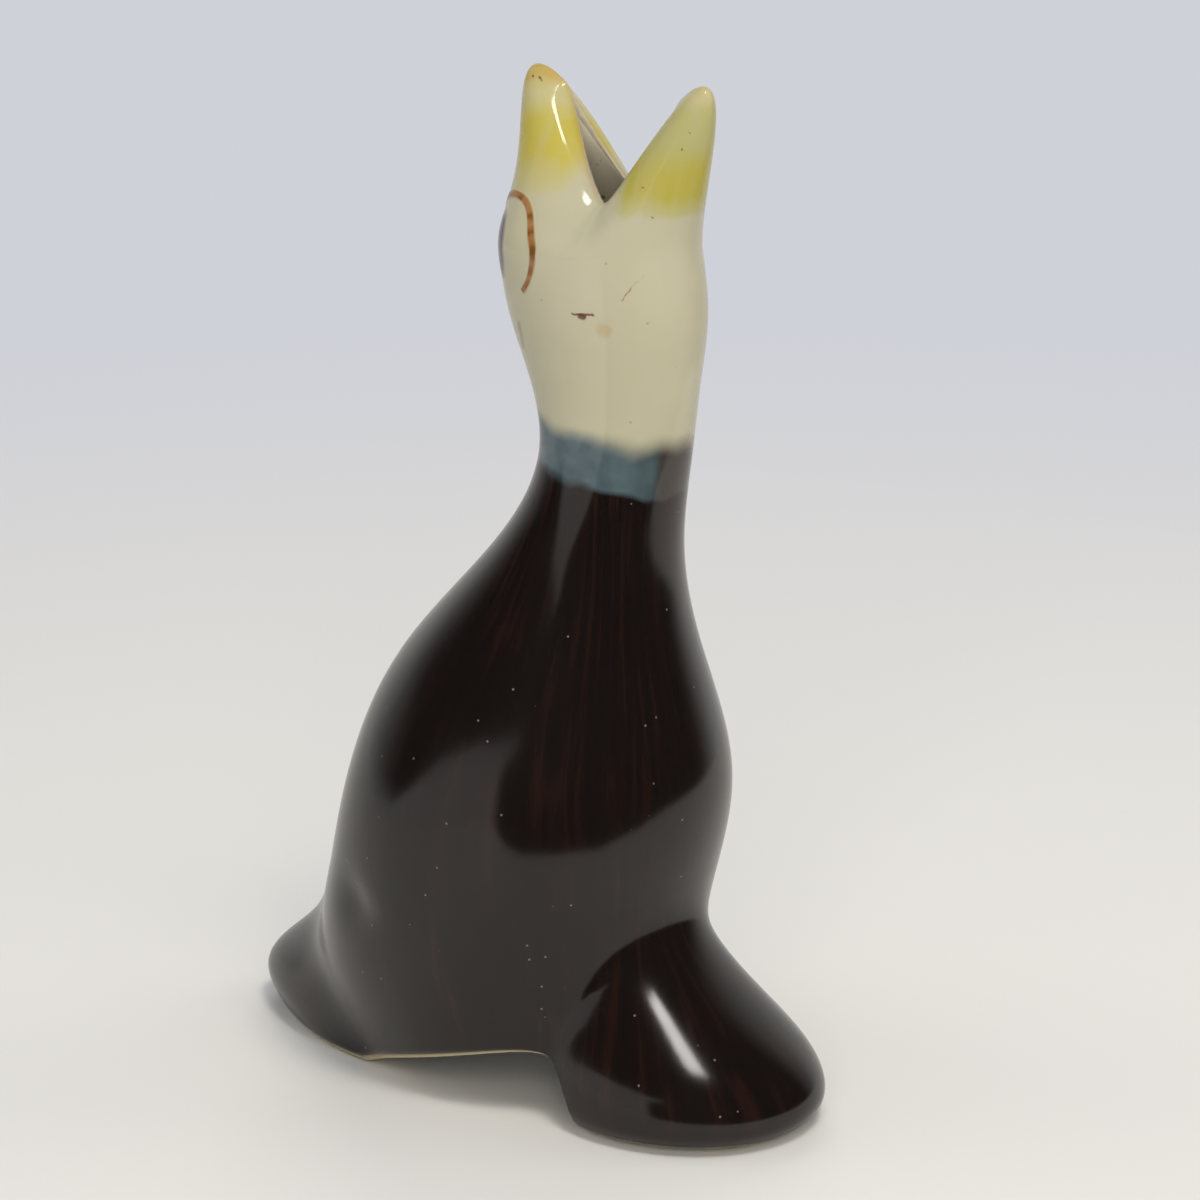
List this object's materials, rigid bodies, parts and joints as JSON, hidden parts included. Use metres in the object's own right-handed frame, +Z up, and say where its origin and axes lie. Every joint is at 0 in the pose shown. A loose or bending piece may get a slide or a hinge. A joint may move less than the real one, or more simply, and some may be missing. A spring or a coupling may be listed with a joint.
{
  "type": "pie bird",
  "caption": "Glazed earthenware pie funnel in the form of a bird with an open upturned bill, hollow from the arched base to the bill so that steam can leave a pie.",
  "frame": {"origin": "middle of the bird's box, on the surface it stands on", "axes": "+X towards the chest and foot, +Z up, Y across the bird"},
  "size_m": [0.0732, 0.041, 0.109],
  "materials": {
    "biscuit_clay": "matt unglazed earthenware, sponged at the rim and lips",
    "brown_glaze": "glossy very dark brown glaze with brush streaks",
    "blue_glaze": "glossy blue-grey band bleeding at both edges",
    "cream_glaze": "glossy cream glaze with small specks",
    "upper_bill_yellow": "glossy yellow brushed over cream",
    "lower_bill_yellow": "glossy greenish yellow brushed over cream",
    "eye_brown": "brown brush stroke",
    "eye_purple": "purple-grey brush dab"
  },
  "bodies": {
    "root": {"clay_casting": "biscuit_clay", "body_glaze": "brown_glaze", "collar_glaze": "blue_glaze", "head_glaze": "cream_glaze", "upper_bill_glaze": "upper_bill_yellow", "lower_bill_glaze": "lower_bill_yellow", "right_eye_ring": "eye_brown", "left_eye_ring": "eye_brown", "right_pupil": "eye_purple", "left_pupil": "eye_purple"}
  },
  "joints": []
}
